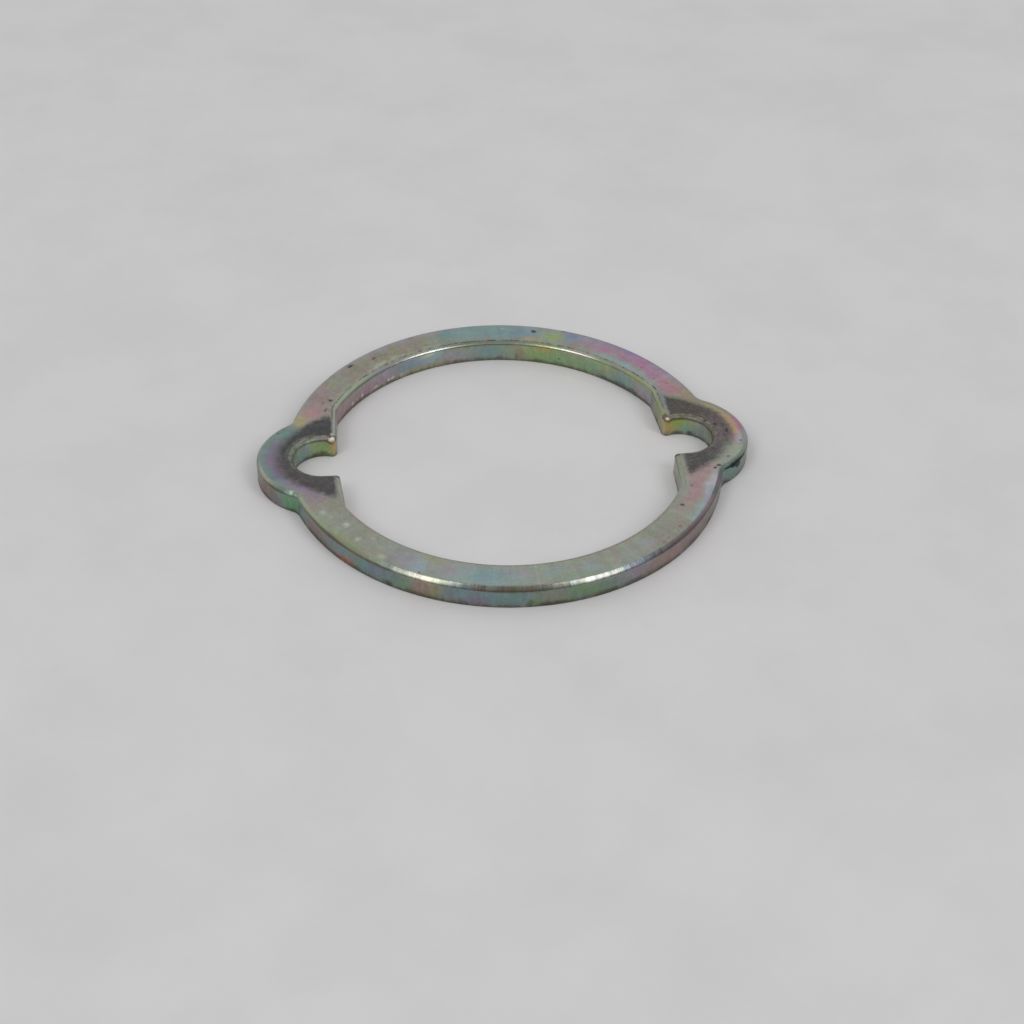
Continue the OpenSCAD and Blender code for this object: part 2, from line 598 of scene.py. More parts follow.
# The upper face, round the ring from the right lobe: (degrees, radius, half degrees, half width, ...).
base = sheet.blend(sheet.ease(sheet.noise(where, 0.3, 2), 0.35, 0.65), (*khaki, 1), (*sage, 1))
face = ring_zones(sheet, base, face_place, [
    (118, 22.0, 60, 30.0, (0.35, 0.325, 0.245), 0.9),
    (270, 22.0, 95, 30.0, sage, 0.8),
    (18, 23.0, 8, 1.6, straw, 0.9),
    (24, 22.2, 8, 1.8, pink, 1.0),
    (22, 24.1, 12, 0.9, khaki, 0.9),
    (41, 23.7, 28, 1.5, violet, 0.95),
    (62, 22.8, 8, 2.4, blue, 0.85),
    (52, 22.3, 12, 1.3, rose, 0.8),
    (40, 22.3, 12, 1.3, rose, 0.85),
    (31, 22.1, 9, 1.3, rose, 0.85),
    (25, 21.8, 6, 1.1, pink, 0.8),
    (42, 20.8, 20, 0.9, pale_blue, 0.9),
    (27, 20.5, 12, 0.8, lilac, 0.9),
    (34, 20.3, 14, 0.6, sage, 0.9),
    (84, 22.2, 20, 3.4, teal, 1.0),
    (98, 22.6, 12, 3.0, teal, 0.9),
    (78, 22.4, 7, 2.4, blue, 0.6),
    (68, 21.8, 5, 1.7, lime, 0.95),
    (74, 20.7, 5, 1.0, straw, 0.7),
    (108, 20.6, 12, 1.0, sage, 0.9),
    (123, 23.9, 36, 1.5, lilac, 1.0),
    (127, 22.0, 24, 1.6, khaki, 0.9),
    (143, 22.2, 4, 1.6, sage, 0.6),
    (130, 20.7, 28, 0.6, pale_moss, 0.6),
    (146, 22.4, 3, 0.8, moss, 0.6),
    (150, 22.7, 9, 2.2, mauve, 0.85),
    (156, 21.8, 9, 1.9, (0.50, 0.35, 0.34), 0.9),
    (163, 23.3, 7, 1.2, straw, 0.9),
    (199, 22.4, 8, 1.5, mauve, 1.0),
    (212, 22.3, 13, 2.4, sage, 0.8),
    (218, 23.6, 18, 0.7, lime, 0.5),
    (236, 22.0, 9, 2.2, lilac, 0.75),
    (240, 22.6, 3.5, 1.8, pale_blue, 0.7),
    (248, 21.9, 6, 1.7, lilac, 0.6),
    (244, 21.0, 5, 0.9, straw, 0.5),
    (258, 22.4, 15, 2.6, pale_blue, 0.8),
    (259, 22.2, 14, 2.0, teal, 0.5),
    (266, 21.8, 6, 1.2, lilac, 0.5),
    (276, 21.8, 5, 1.4, pale_blue, 0.6),
    (288, 22.2, 20, 2.4, sage, 0.9),
    (280, 22.8, 9, 1.2, green, 0.4),
    (286, 22.2, 4, 1.4, pale_blue, 0.6),
    (292, 21.4, 5, 1.2, mauve, 0.45),
    (304, 22.3, 6, 1.5, lilac, 0.5),
    (316, 22.0, 14, 2.2, khaki, 0.6),
    (331, 21.9, 12, 1.6, (0.56, 0.36, 0.37), 0.95),
    (338, 22.2, 6, 1.6, (0.54, 0.38, 0.33), 0.7),
    # Near the outer edge by the lower right waist, the pale blue and the pearl are a painted sheen.
    (324, 23.6, 10, 0.9, pale_blue, 0.7),
    (336, 23.2, 8, 1.0, painted_pearl_sheen, 1.0),
])

# The upper face of the lobes: (x, y, height, half lengths along each axis, ...).
face = block_zones(sheet, face, soft_spot, [
    (-24.3, 4.4, 2.6, 3.8, 3.4, 9.0, deep_teal, 0.95),
    (-22.2, 6.6, 2.6, 1.8, 1.2, 9.0, straw, 0.9),
    (-20.5, 8.0, 2.6, 2.2, 2.0, 9.0, pink, 0.8),
    (-24.0, -3.4, 2.6, 2.4, 2.2, 9.0, (0.30, 0.31, 0.36), 0.9),
    (-22.6, -5.2, 2.6, 2.6, 2.0, 9.0, (0.33, 0.25, 0.39), 0.9),
    (-20.8, -6.6, 2.6, 2.6, 2.2, 9.0, (0.34, 0.28, 0.31), 0.9),
    (22.0, 6.6, 2.6, 3.0, 2.4, 9.0, (0.44, 0.38, 0.25), 1.0),
    (24.6, -4.6, 2.6, 3.6, 3.4, 9.0, sage, 1.0),
    (26.2, -1.8, 2.6, 1.6, 1.8, 9.0, (0.50, 0.50, 0.54), 0.9),
    (25.6, -3.6, 2.6, 1.8, 1.6, 9.0, (0.44, 0.53, 0.40), 0.9),
    (21.6, -6.2, 2.6, 3.8, 1.8, 9.0, (0.50, 0.37, 0.36), 0.9),
    (20.0, -8.2, 2.6, 2.0, 2.2, 9.0, pink, 0.6),
    (26.4, -2.0, 2.6, 1.6, 2.4, 9.0, sage, 0.8),
])

# The same painted sheen, narrower, near the outer edge by the lower right waist.
face = ring_zones(sheet, face, face_calm, [
    (337, 23.2, 9, 0.6, painted_pearl_sheen, 1.0),
    (331, 23.3, 8, 0.4, (0.46, 0.50, 0.62), 0.7),
], core=0.2)
face = block_zones(sheet, face, calm_spot, [
    (18.9, 6.4, 2.6, 0.6, 2.4, 9.0, (0.27, 0.31, 0.34), 0.9),
    (-26.2, -3.2, 2.6, 0.8, 2.2, 9.0, (0.42, 0.50, 0.46), 0.7),
], core=0.2)

# Beside the dark stain of each bolt head the film runs through its colours in narrow bands, from the stain
# to the edge of the lobe. They differ above, beside and below the right notch, and round the left one.
from_notch, round_notch, on_right = notch_places(sheet, near_spot)[2:]
band_place = (from_notch - 4.8) / 2.6
upper_bands = sheet.ramp(band_place, [
    (0.00, umber),
    (0.23, (0.20, 0.18, 0.13)),
    (0.42, (0.42, 0.38, 0.24)),
    (0.53, (0.58, 0.50, 0.26)),
    (0.64, (0.37, 0.33, 0.24)),
    (0.80, (0.33, 0.29, 0.27)),
    (1.00, khaki),
])
right_bands = sheet.ramp(band_place, [
    (0.00, umber),
    (0.23, (0.30, 0.20, 0.16)),
    (0.38, (0.68, 0.53, 0.26)),
    (0.50, (0.70, 0.42, 0.35)),
    (0.62, (0.62, 0.28, 0.37)),
    (0.72, (0.42, 0.25, 0.34)),
    (0.86, (0.24, 0.26, 0.36)),
    (1.00, pale_blue),
])
lower_bands = sheet.ramp(band_place, [
    (0.00, umber),
    (0.20, (0.27, 0.19, 0.21)),
    (0.32, (0.50, 0.32, 0.34)),
    (0.46, (0.56, 0.48, 0.48)),
    (0.58, (0.52, 0.50, 0.56)),
    (0.72, (0.28, 0.31, 0.34)),
    (1.00, (0.26, 0.36, 0.34)),
])
left_bands = sheet.ramp((from_notch - 4.4) / 2.6, [
    (0.00, (0.22, 0.19, 0.20)),
    (0.38, (0.26, 0.20, 0.29)),
    (0.58, (0.24, 0.22, 0.33)),
    (0.80, (0.20, 0.30, 0.29)),
    (1.00, (0.25, 0.36, 0.31)),
])
near_lobe = sheet.ease(from_notch, 8.4, 7.4)
right_arc = sheet.ease(round_notch, -0.55, -0.2) * sheet.ease(round_notch, 1.6, 0.8, 0.0, 0.9) * near_lobe
left_arc = sheet.ease(round_notch, -1.1, -0.5) * sheet.ease(round_notch, 0.9, 0.3) * near_lobe
right_bands = sheet.blend(sheet.ease(round_notch, 0.25, 0.65), right_bands, upper_bands)
right_bands = sheet.blend(sheet.ease(round_notch, 0.05, -0.2), right_bands, lower_bands)
face = sheet.blend(right_arc * on_right, face, right_bands)
face = sheet.blend(left_arc * (1 - on_right) * 0.9, face, left_bands)

# The outer wall and the rolled edge over it: (degrees, height, half degrees, half height, ...).
outside = ring_zones(sheet, sheet.blend(0.5, (*khaki, 1), (*teal, 1)), wall_place, [
    (22, 1.2, 12, 2.4, mauve, 0.8),
    (42, 1.4, 14, 2.2, blue, 0.8),
    (58, 0.8, 8, 1.6, copper, 0.5),
    (74, 1.3, 14, 2.4, green, 0.7),
    (96, 1.5, 12, 2.0, lilac, 0.8),
    (113, 1.0, 12, 2.2, teal, 0.9),
    (128, 1.4, 6, 1.6, straw, 0.5),
    (142, 1.2, 14, 2.4, mauve, 0.8),
    (207, 1.4, 11, 2.2, (0.32, 0.22, 0.21), 1.0),
    (205, 0.9, 8, 1.2, (0.38, 0.23, 0.21), 0.5),
    (216, 1.7, 7, 1.4, blue, 0.4),
    (227, 1.4, 16, 2.6, teal, 0.95),
    (229, 1.5, 5, 1.4, violet, 0.4),
    (219, 0.5, 6, 0.9, copper, 1.0),
    (237, 1.3, 4, 2.0, green, 0.9),
    (243, 1.2, 7, 2.0, copper, 0.7),
    (246, 1.4, 2.5, 1.9, straw, 0.7),
    (256, 1.2, 14, 2.2, (0.25, 0.38, 0.42), 0.9),
    (255, 0.5, 6, 0.7, violet, 0.6),
    (265, 1.2, 9, 2.2, teal, 0.8),
    (282, 1.2, 20, 2.4, green, 0.7),
    (274, 1.4, 7, 1.8, khaki, 0.7),
    (284, 1.2, 9, 1.8, (0.25, 0.37, 0.21), 0.6),
    (296, 1.6, 9, 2.0, lilac, 0.85),
    (314, 1.1, 22, 2.8, mauve, 1.0),
    (307, 1.1, 11, 1.5, copper, 0.45),
    (320, 1.0, 9, 1.5, brown, 0.5),
    (328, 1.2, 14, 2.4, (0.37, 0.24, 0.21), 0.8),
    (250, 0.2, 48, 0.9, (0.33, 0.27, 0.19), 0.5),
])
# Partly painted reflection: along the rolled edge the film is painted paler on its upper part and where the
# two softbox highlights fall, and darker between them, with dark lines painted under it.
outside = ring_zones(sheet, outside, wall_calm, [
    (206, 2.5, 14, 0.7, pale_moss, 0.9),
    (222, 2.5, 14, 0.7, (0.54, 0.56, 0.38), 0.9),
    (242, 2.5, 12, 0.7, (0.56, 0.55, 0.42), 0.9),
    (264, 2.45, 16, 0.7, (0.22, 0.20, 0.13), 0.9),
    (286, 2.5, 11, 0.7, (0.54, 0.54, 0.50), 0.9),
    (299, 2.5, 8, 0.7, (0.46, 0.52, 0.62), 0.8),
    (322, 2.4, 24, 0.7, mauve, 0.8),
    (212, 2.15, 17, 0.28, olive, 0.9),
    (229, 2.12, 8, 0.25, olive, 0.7),
    (265, 2.2, 13, 0.30, umber, 0.8),
    (318, 2.2, 22, 0.35, (0.15, 0.11, 0.12), 0.8),
    (338, 2.4, 9, 0.60, (0.10, 0.11, 0.15), 0.9),
], core=0.3)
outside = ring_zones(sheet, outside, wall_ragged, [
    (209, 0.3, 9, 0.5, brown, 0.8),
    (219, 0.35, 5, 0.5, (0.35, 0.10, 0.06), 0.6),
    (233, 0.4, 2, 0.5, soot, 0.8),
    (243, 0.3, 5, 0.4, brown, 0.7),
    (269, 0.5, 1.3, 0.7, olive, 0.9),
    (275, 0.3, 6, 0.4, umber, 0.8),
    (287, 0.3, 9, 0.5, umber, 0.7),
    (303, 0.4, 10, 0.6, brown, 0.8),
    (318, 0.5, 5, 0.6, soot, 0.5),
], core=0.2)

# The wall of the hole and the rolled edge over it.
inside = ring_zones(sheet, sheet.blend(0.5, (*khaki, 1), (*sage, 1)), wall_place, [
    (212, 1.2, 14, 2.4, mauve, 0.7),
    (232, 1.4, 12, 2.0, teal, 0.8),
    (252, 1.0, 12, 2.0, lime, 0.5),
    (272, 1.3, 14, 2.2, lilac, 0.7),
    (294, 1.2, 12, 2.4, green, 0.7),
    (314, 1.4, 14, 2.0, copper, 0.5),
    (332, 1.2, 10, 2.2, pale_blue, 0.6),
    (150, 1.3, 14, 2.4, (0.48, 0.33, 0.36), 0.9),
    (139, 1.3, 11, 2.2, mauve, 1.0),
    (134, 1.0, 6, 1.3, rose, 0.5),
    (128, 1.9, 9, 1.6, lilac, 0.9),
    (126, 0.9, 6, 1.0, rose, 0.5),
    (116, 1.5, 11, 2.0, blue, 0.8),
    (108, 1.6, 10, 2.0, pale_blue, 0.85),
    (99, 1.0, 9, 1.4, lilac, 0.6),
    (88, 1.3, 12, 2.4, teal, 0.8),
    (110, 0.4, 16, 0.6, straw, 0.7),
    (68, 1.2, 20, 2.4, lime, 1.0),
    (79, 1.0, 3.5, 1.8, brown, 0.5),
    (65, 0.9, 12, 1.6, green, 0.7),
    (70, 2.0, 5, 0.7, gold, 0.6),
    (52, 1.2, 12, 2.2, green, 0.8),
    (47, 1.9, 8, 1.0, lime, 0.6),
    (39, 1.1, 10, 2.2, teal, 0.7),
    (29, 1.3, 11, 2.4, lilac, 0.8),
    (52, 0.1, 40, 0.6, brown, 0.8),
    # A painted highlight near the top of the hole's wall.
    (109, 2.1, 3.5, 0.5, painted_cream_highlight, 0.8),
    (46, 0.5, 14, 0.6, (0.20, 0.26, 0.22), 0.6),
])
# Partly painted reflection: the hole's rolled edge is painted paler where the softbox highlights fall at the
# back and darker between them, with a dark line painted under it, and brown along the front half, which turns
# away.
inside = ring_zones(sheet, inside, wall_calm, [
    (143, 2.5, 18, 0.6, (0.48, 0.55, 0.42), 1.0),
    (140, 2.18, 22, 0.12, (0.08, 0.12, 0.08), 0.9),
    (114, 2.5, 12, 0.6, (0.52, 0.52, 0.45), 0.9),
    (88, 2.45, 19, 0.6, (0.24, 0.28, 0.20), 0.9),
    (70, 2.2, 5, 0.4, gold, 0.2),
    (57, 2.5, 11, 0.6, (0.55, 0.54, 0.46), 0.9),
    (34, 2.5, 15, 0.6, moss, 0.9),
    (30, 2.25, 14, 0.25, lime, 0.7),
    (270, 2.4, 70, 0.6, brown, 0.6),
], core=0.2)
inside = ring_zones(sheet, inside, wall_ragged, [
    # White sparkles painted on the torn lower part of the hole's wall are painted highlights.
    (143.2, 0.66, 1.0, 0.26, painted_glare, 1.0),
    (140.6, 0.70, 0.8, 0.24, painted_glare, 1.0),
    (138.0, 0.74, 0.8, 0.26, painted_glare, 1.0),
    (131.0, 0.62, 1.6, 0.24, painted_cream_highlight, 1.0),
    (125.4, 0.64, 0.8, 0.26, painted_glare, 1.0),
    (123.6, 0.62, 0.9, 0.26, painted_glare, 1.0),
    (120.0, 0.58, 1.0, 0.22, painted_cream_highlight, 0.8),
    (126.6, 0.65, 0.8, 0.14, soot, 0.8),
    (79.0, 0.60, 0.8, 0.35, olive, 0.8),
    (49.0, 1.30, 0.8, 0.30, moss, 0.8),
], core=0.2)

# The walls of the lobes and of their notches.
outside = block_zones(sheet, outside, soft_spot, [
    (-26.5, -3.0, 1.1, 2.5, 3.0, 2.2, (0.34, 0.18, 0.18), 1.0),
    (-25.4, -4.6, 1.0, 1.6, 1.8, 1.8, (0.29, 0.22, 0.24), 0.8),
    (-23.6, -6.2, 1.3, 2.1, 2.1, 2.2, (0.21, 0.46, 0.24), 1.0),
    (-22.2, -7.6, 1.2, 1.6, 1.8, 2.2, teal, 0.9),
    (24.5, -6.0, 1.2, 3.0, 3.0, 2.4, teal, 0.7),
    (23.0, -7.2, 0.8, 1.6, 1.6, 1.6, sage, 0.8),
    (26.6, -3.2, 1.2, 1.6, 2.4, 2.2, khaki, 0.8),
    (21.9, -8.6, 1.0, 1.2, 1.4, 2.2, brown, 0.9),
])
outside = block_zones(sheet, outside, calm_spot, [
    # On the left lobe a pale line painted along the rolled edge is a painted highlight, and the olive line
    # under it a painted dark reflection.
    (-26.4, -3.2, 2.5, 2.4, 4.4, 0.45, pale_moss, 0.9),
    (-21.6, -7.4, 2.5, 3.4, 2.2, 0.50, pale_moss, 0.9),
    (-25.6, -4.4, 2.12, 2.6, 3.0, 0.26, olive, 0.9),
    (-21.0, -8.4, 2.12, 2.6, 1.8, 0.26, olive, 0.7),
    (26.8, -1.6, 2.5, 1.2, 2.4, 0.5, sage, 0.8),
    (25.2, -5.0, 2.2, 2.4, 2.0, 0.30, (0.04, 0.08, 0.05), 0.95),
    (24.6, -5.6, 2.55, 2.0, 2.0, 0.20, (0.36, 0.44, 0.36), 0.8),
    (22.6, -7.2, 2.30, 1.6, 1.2, 0.40, (0.09, 0.11, 0.14), 0.95),
], core=0.2)
# Two small painted highlights on the left lobe's rolled edge.
outside = block_zones(sheet, outside, ragged_spot, [
    (-24.3, -5.8, 2.45, 0.35, 0.35, 0.30, painted_glare, 1.0),
    (-23.3, -6.4, 2.45, 0.30, 0.30, 0.30, painted_glare, 1.0),
], core=0.2)
inside = block_zones(sheet, inside, soft_spot, [
    (-20.0, 3.2, 1.2, 2.6, 1.6, 2.6, (0.32, 0.48, 0.19), 1.0),
    (-18.6, 3.0, 1.4, 1.4, 1.4, 1.8, gold, 0.9),
    (-22.4, 2.2, 1.2, 1.6, 2.0, 2.4, teal, 0.7),
    (-23.2, -0.5, 1.2, 1.2, 2.4, 2.4, khaki, 0.8),
    (20.0, 3.2, 1.8, 2.6, 1.6, 2.1, (0.45, 0.60, 0.12), 1.0),
    (20.8, 3.0, 1.0, 2.2, 1.4, 1.2, (0.26, 0.42, 0.26), 0.8),
    (21.6, 2.6, 0.6, 1.8, 1.4, 0.8, teal, 0.7),
    (22.6, 1.8, 1.2, 1.4, 1.8, 2.4, (0.28, 0.36, 0.32), 0.7),
    (18.6, 3.2, 1.3, 1.0, 1.4, 1.9, gold, 0.9),
    (18.3, 5.6, 1.2, 1.0, 2.8, 2.4, brown, 0.7),
    (18.3, 5.6, 1.6, 0.8, 2.2, 1.4, lime, 0.35),
    (-18.3, 5.6, 1.2, 1.0, 2.8, 2.4, mauve, 0.9),
    (18.3, -6.0, 1.2, 1.0, 2.8, 2.4, khaki, 0.9),
])
inside = block_zones(sheet, inside, calm_spot, [
    (18.4, 5.4, 2.5, 0.9, 3.2, 0.7, (0.34, 0.36, 0.20), 0.9),
    (18.4, 5.4, 2.25, 0.5, 3.2, 0.20, lime, 0.8),
    (-18.5, 5.6, 2.5, 0.9, 3.0, 0.7, (0.46, 0.47, 0.45), 0.8),
    (18.4, -6.0, 2.5, 0.9, 3.0, 0.7, (0.38, 0.42, 0.31), 0.9),
    (18.4, -5.2, 2.2, 0.7, 3.0, 0.4, (0.24, 0.27, 0.17), 0.7),
    (-18.6, -6.0, 2.5, 0.9, 3.0, 0.7, sage, 0.8),
], core=0.2)
inside = block_zones(sheet, inside, near_spot, [
    (20.0, 3.2, 0.30, 1.0, 0.8, 0.40, soot, 0.9),
    (21.5, 2.9, 0.35, 0.6, 0.6, 0.45, soot, 0.9),
    (-20.6, 3.2, 0.25, 1.6, 0.8, 0.30, soot, 0.6),
], core=0.2)

film = sheet.blend(sheet.ease(across, 0.45, 0.55), inside, outside)
film = sheet.blend(sheet.ease(rounding, 0.2, 0.05), film, face)
ring = sheet.node(
    "GeometryNodeStoreNamedAttribute", {"data_type": "FLOAT_COLOR", "domain": "POINT"},
    {"Geometry": ring, "Name": "film", "Value": film},
)

# Nothing in a press is quite even: the roll is scalloped, the face waves, the torn part of the walls is
# ridged, and handling has left pits and rubbed the corners beside each mouth. All of it goes into the metal.
shifted = sheet.along("ADD", where, sheet.vector(want["Seed"] * 10, 0, 0))
around = y.math("ARCTAN2", y, x) * ring_radius
patchy = sheet.noise(shifted, 0.22, 1)
uneven = sheet.noise(shifted, 0.5, 2)
beat = around * 4.0 + 5 * uneven
scallop = (0.5 + 0.5 * beat.math("SINE", beat)) * sheet.ease(across, 0.4, 0.9)
scallop = scallop * sheet.ease(patchy, 0.35, 0.6) * 4 * rounding * (1 - rounding)
wave = sheet.noise(shifted, 0.35, 2)
ridge_place = sheet.along("MULTIPLY", shifted, (1.0, 1.0, 0.22))
wall = sheet.ease(z, sheet_thickness - 0.6, sheet_thickness - 1.0)
tear = sheet.noise(ridge_place, 3.0, 3, 0.6) * wall * sheet.ease(z, 0.02, 0.1)
pit = sheet.ease(sheet.noise(shifted, 1.7, 1), 0.70, 0.80)
depth = want["Scallop depth"] * scallop + want["Wave depth"] * wave + want["Tear depth"] * tear
corner = sheet.vector(x.math("ABSOLUTE", x), y.math("ABSOLUTE", y), z)
corner_top = (mouth.x, mouth.y - mouth_radius, sheet_thickness)
from_corner = sheet.along("LENGTH", sheet.along("SUBTRACT", corner, corner_top), output=1)
worn = sheet.ease(from_corner, 1.0, 0.1)
depth = depth + want["Pit depth"] * pit + want["Corner wear"] * worn
depth = depth * sheet.ease(normal_z, -0.6, -0.2)
offset = sheet.scaled(normal, 0 - depth)
ring = sheet.node("GeometryNodeSetPosition", sockets={"Geometry": ring, "Offset": offset})
ring = mirrored(sheet, ring, (mm, mm, mm))
ring = sheet.node("GeometryNodeSetShadeSmooth", sockets={"Geometry": ring})
ring = sheet.node("GeometryNodeRealizeInstances", sockets={0: ring})
ring = sheet.node("GeometryNodeSetMaterial", sockets={"Geometry": ring, "Material": want["Finish"]})
sheet.node("NodeGroupOutput", sockets={0: ring})

finish, sheet, shader = new_material("yellow_zinc")
spot = sheet.node("ShaderNodeTexCoord", output="Object")
spot = sheet.along("MULTIPLY", spot, (1 / mm, 1 / mm, 1 / mm))
near_spot = drifted(sheet, spot, 1.6, 0.5)
ragged_spot = drifted(sheet, spot, 4.5, 0.45)
face_near = ring_places(sheet, near_spot)[0]
face_ragged = ring_places(sheet, ragged_spot)[0]
side_x, side_y, from_notch, round_notch, on_right = notch_places(sheet, near_spot)
off_tip = round_notch.math("ABSOLUTE", round_notch)
normal_z = sheet.axes(sheet.node("ShaderNodeTexCoord", output="Normal"))[2]
across = sheet.node("ShaderNodeAttribute", {"attribute_name": "across"}, output="Fac")
film = sheet.node("ShaderNodeAttribute", {"attribute_name": "film"}, output="Color")
on_outside = sheet.ease(across, 0.45, 0.55)
rounding = sheet.node("ShaderNodeAttribute", {"attribute_name": "rounding"}, output="Fac")
on_face = sheet.ease(rounding, 0.25, 0.02)

# The outer wall and its rolled edge are made darker than the face, partly because the cut metal has taken the
# film's colours darker and partly as painted shade, for the shaded floor near the wall that they mirror. All
# colours are made a little more saturated.
wall_value = 1.0 - 0.22 * (1 - on_face) * on_outside
sockets = {"Saturation": 1.2, "Value": wall_value, "Color": film}
colour = sheet.node("ShaderNodeHueSaturation", sockets=sockets)


# The stain itself: dark and cloudy, wide beside the mouth of a notch and narrow round its back. On the right
# it is browner and flecked, with a paler crescent where the bolt's head has turned.
def reach_ramp(reaches, span=220, longest=10):
    """How far a stain reaches, by the direction from the notch: (direction in degrees, reach in mm)."""
    stops = [(0.5 + degrees / span, (reach / longest,) * 3) for degrees, reach in reaches]
    turned = round_notch / math.radians(span) + 0.5
    return longest * sheet.axes(sheet.ramp(turned, stops))[0]


right_reach = reach_ramp([
    (-95, 7.5), (-84, 6.5), (-68, 5.8), (-42, 5.4), (-12, 5.4), (30, 5.7), (55, 6.0), (76, 6.4), (95, 7.3),
])
left_reach = reach_ramp([
    (-97, 7.5), (-86, 6.6), (-66, 5.8), (-30, 5.5), (0, 5.2), (25, 5.2), (52, 5.3), (70, 5.8), (97, 7.3),
])
stain_end = sheet.node("ShaderNodeMix", {"data_type": "FLOAT"}, {0: on_right, 2: left_reach, 3: right_reach})
cloud = sheet.noise(spot, 1.1, 4, 0.65)
fine_cloud = sheet.noise(spot, 4.0, 3, 0.6)
speckle = sheet.noise(spot, 4.5, 3, 0.7)
lower = sheet.ease(side_y, 1.0, -1.0)
tip = sheet.ease(off_tip, 1.3, 0.5)
stain = sheet.ease(from_notch - stain_end + (0.5 - cloud) * 0.8, 0.55 + tip * 0.15, -0.65 - tip * 0.35)
stain = stain * sheet.ease(side_x + (1 - on_right) * 0.35, -1.1, -0.7 + lower * 0.2)
stain = stain * sheet.ease(cloud, 0.35, 0.5, 0.93, 0.99)
stain_colour = sheet.blend(lower, (0.047, 0.047, 0.050, 1), (0.075, 0.069, 0.071, 1))
stain_colour = sheet.blend(on_right * (1 - lower), stain_colour, (0.068, 0.057, 0.044, 1))
stain_colour = sheet.blend(sheet.ease(cloud, 0.42, 0.60) * on_right, stain_colour, (0.090, 0.078, 0.066, 1))
stain_colour = sheet.blend(tip * on_right * 0.8, stain_colour, (0.115, 0.090, 0.088, 1))
flecks = sheet.ease(speckle, 0.55, 0.70) * (0.06 + on_right * (tip * 0.45 + (1 - lower) * 0.25))
stain_colour = sheet.blend(flecks, stain_colour, (0.28, 0.25, 0.25, 1))
crescent = sheet.ease(off_tip, 1.0, 0.2) * on_right * sheet.ease(cloud, 0.3, 0.65, 0.3, 1.0)
crescent = crescent * sheet.ease(from_notch, 3.6, 3.95) * sheet.ease(from_notch, 4.6, 4.2)
stain_colour = sheet.blend(crescent * 0.5, stain_colour, (0.30, 0.22, 0.27, 1))
stain_depth = 1 + (sheet.ease(fine_cloud, 0.35, 0.65) - 0.5) * (0.25 + on_right * 0.25)
stain_depth = stain_depth * sheet.ease(cloud, 0.38, 0.62, 1.25, 0.8)
stained = stain * on_face
colour = sheet.blend(stained, colour, sheet.scaled(stain_colour, stain_depth))

# The rolled edge round each notch was pressed and soiled by the bolt. The pale line along its crest is a
# painted highlight, and the upper corner of each mouth has a painted highlight with a burnt rim.
spot_x, spot_y, spot_z = sheet.axes(spot)
lip = (1 - on_face) * sheet.ease(from_notch, 4.4, 4.0) * sheet.ease(spot_z, 1.95, 2.2) * (1 - on_outside)
lip_colour = sheet.blend(on_right, (0.20, 0.22, 0.17, 1), (0.15, 0.12, 0.08, 1))
lip_colour = sheet.blend(lower, lip_colour, (0.10, 0.10, 0.09, 1))
lip_grain = sheet.noise(spot, 2.2, 3, 0.6)
lip_colour = sheet.scaled(lip_colour, sheet.ease(lip_grain, 0.35, 0.65, 0.7, 1.3))
rubbed = sheet.ease(from_notch, 4.25, 3.95) * sheet.ease(off_tip, 1.6, 0.9) * on_face * (1 - on_right * 0.5)
lip = lip * 0.95 + rubbed * 0.7
colour = sheet.blend(lip, colour, lip_colour)
crest_highlight = sheet.ease(rounding, 0.05, 0.15) * sheet.ease(rounding, 0.4, 0.2) * sheet.ease(from_notch, 4.4, 4.0)
crest_highlight = crest_highlight * sheet.ease(lip_grain, 0.42, 0.58) * (1 - on_outside)
colour = sheet.blend(crest_highlight * (0.45 - 0.25 * lower), colour, (0.50, 0.48, 0.38, 1))
glint_place = (18.82, 3.15, 2.38)
corner = sheet.vector(spot_x.math("ABSOLUTE", spot_x), spot_y, spot_z)
from_corner = sheet.along("SUBTRACT", drifted(sheet, corner, 2.4, 0.8), glint_place)
from_corner = sheet.along("LENGTH", sheet.along("MULTIPLY", from_corner, (1.0, 0.95, 0.8)), output=1)
from_corner = from_corner + on_right * 0.10
burnt = sheet.ease(from_corner, 0.75, 0.4) * (1 - on_face)
colour = sheet.blend(burnt * 0.85, colour, (0.22, 0.09, 0.03, 1))
glint = sheet.ease(from_corner, 0.42, 0.25) * (1 - on_face)
colour = sheet.blend(glint, colour, (*painted_glare, 1))

# The film isn't even anywhere: fine clouds, streaks along the rim and patches across it shift its colour and
# its depth. The die left the front of the outer roll in short facets and hairlines, which break its shine.
streaks = sheet.noise(sheet.along("MULTIPLY", face_near, (0.5, 0.5, 3.0)), 0.9, 3, 0.65)
tears = sheet.noise(sheet.along("MULTIPLY", near_spot, (1.0, 1.0, 0.35)), 2.2, 3, 0.65)
shift = sheet.ramp(sheet.ease(sheet.noise(spot, 0.8, 4, 0.7), 0.25, 0.75), [
    (0.00, straw),
    (0.22, pink),
    (0.40, lilac),
    (0.55, pale_blue),
    (0.72, sage),
    (0.88, lime),
    (1.00, straw),
])
colour = sheet.blend(0.21 - 0.16 * stained, colour, shift)
grain = sheet.noise(spot, 7.0, 3, 0.7)
track = sheet.along("MULTIPLY", ring_places(sheet, spot)[0], (1.0, 1.0, 0.0))
facets = sheet.ease(sheet.noise(track, 1.1, 2, 0.6), 0.40, 0.56)
hairs = sheet.ease(sheet.noise(track, 3.6, 2), 0.45, 0.65)
front = sheet.ease(spot_y, -17.0, -20.0) * on_outside
on_roll = sheet.ease(rounding, 0.0, 0.15) * sheet.ease(rounding, 1.0, 0.9)
patches = sheet.noise(track, 0.6, 3, 0.65)
depth = (streaks - 0.5) * 0.2 + (grain - 0.5) * 0.4 + (fine_cloud - 0.5) * 0.4
depth = depth + (tears - 0.5) * 0.5 * (1 - on_face)
depth = 1.0 + depth * (1 - on_roll * 0.8) + (cloud - 0.5) * 0.3 + (patches - 0.5) * 0.45 * on_face
depth = depth - ((1 - facets) * 0.26 + hairs * 0.18) * front * on_roll
colour = sheet.scaled(colour, depth)
